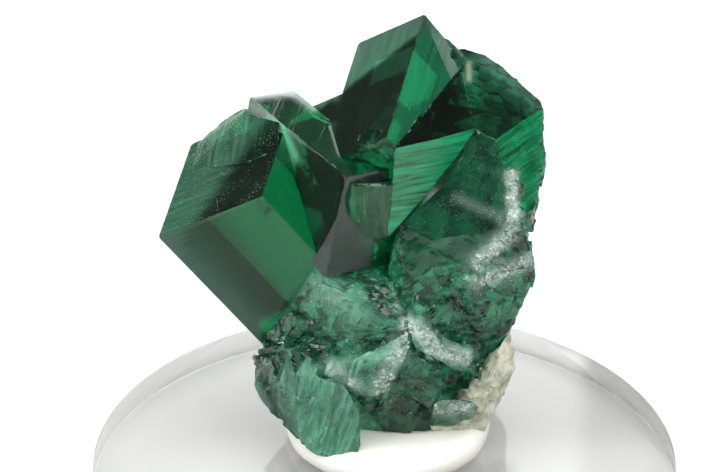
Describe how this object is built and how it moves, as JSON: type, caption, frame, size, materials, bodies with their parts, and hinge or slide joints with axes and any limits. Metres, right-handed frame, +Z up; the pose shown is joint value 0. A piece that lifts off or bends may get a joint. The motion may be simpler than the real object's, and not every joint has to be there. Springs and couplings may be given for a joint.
{
  "type": "mineral specimen",
  "caption": "Green twinned fluorite cubes grown together over a broken base with a rind of host rock, held upright by putty on a clear acrylic disc.",
  "frame": {"origin": "centre of the disc's underside", "axes": "+Z up; -Y is the front, the side the specimen is shown from; +X to the right"},
  "size_m": [0.05, 0.05, 0.0407],
  "materials": {
    "fluorite": "clear deep green crystal with smooth growth faces and cleaved lower surfaces",
    "host_rock": "rough, tan-grey",
    "putty": "matte, pressed by hand",
    "acrylic": "polished clear acrylic"
  },
  "bodies": {
    "root": {"fluorite_cluster": "fluorite", "matrix_remnant": "host_rock", "mounting_putty": "putty", "acrylic_base": "acrylic"}
  },
  "joints": []
}
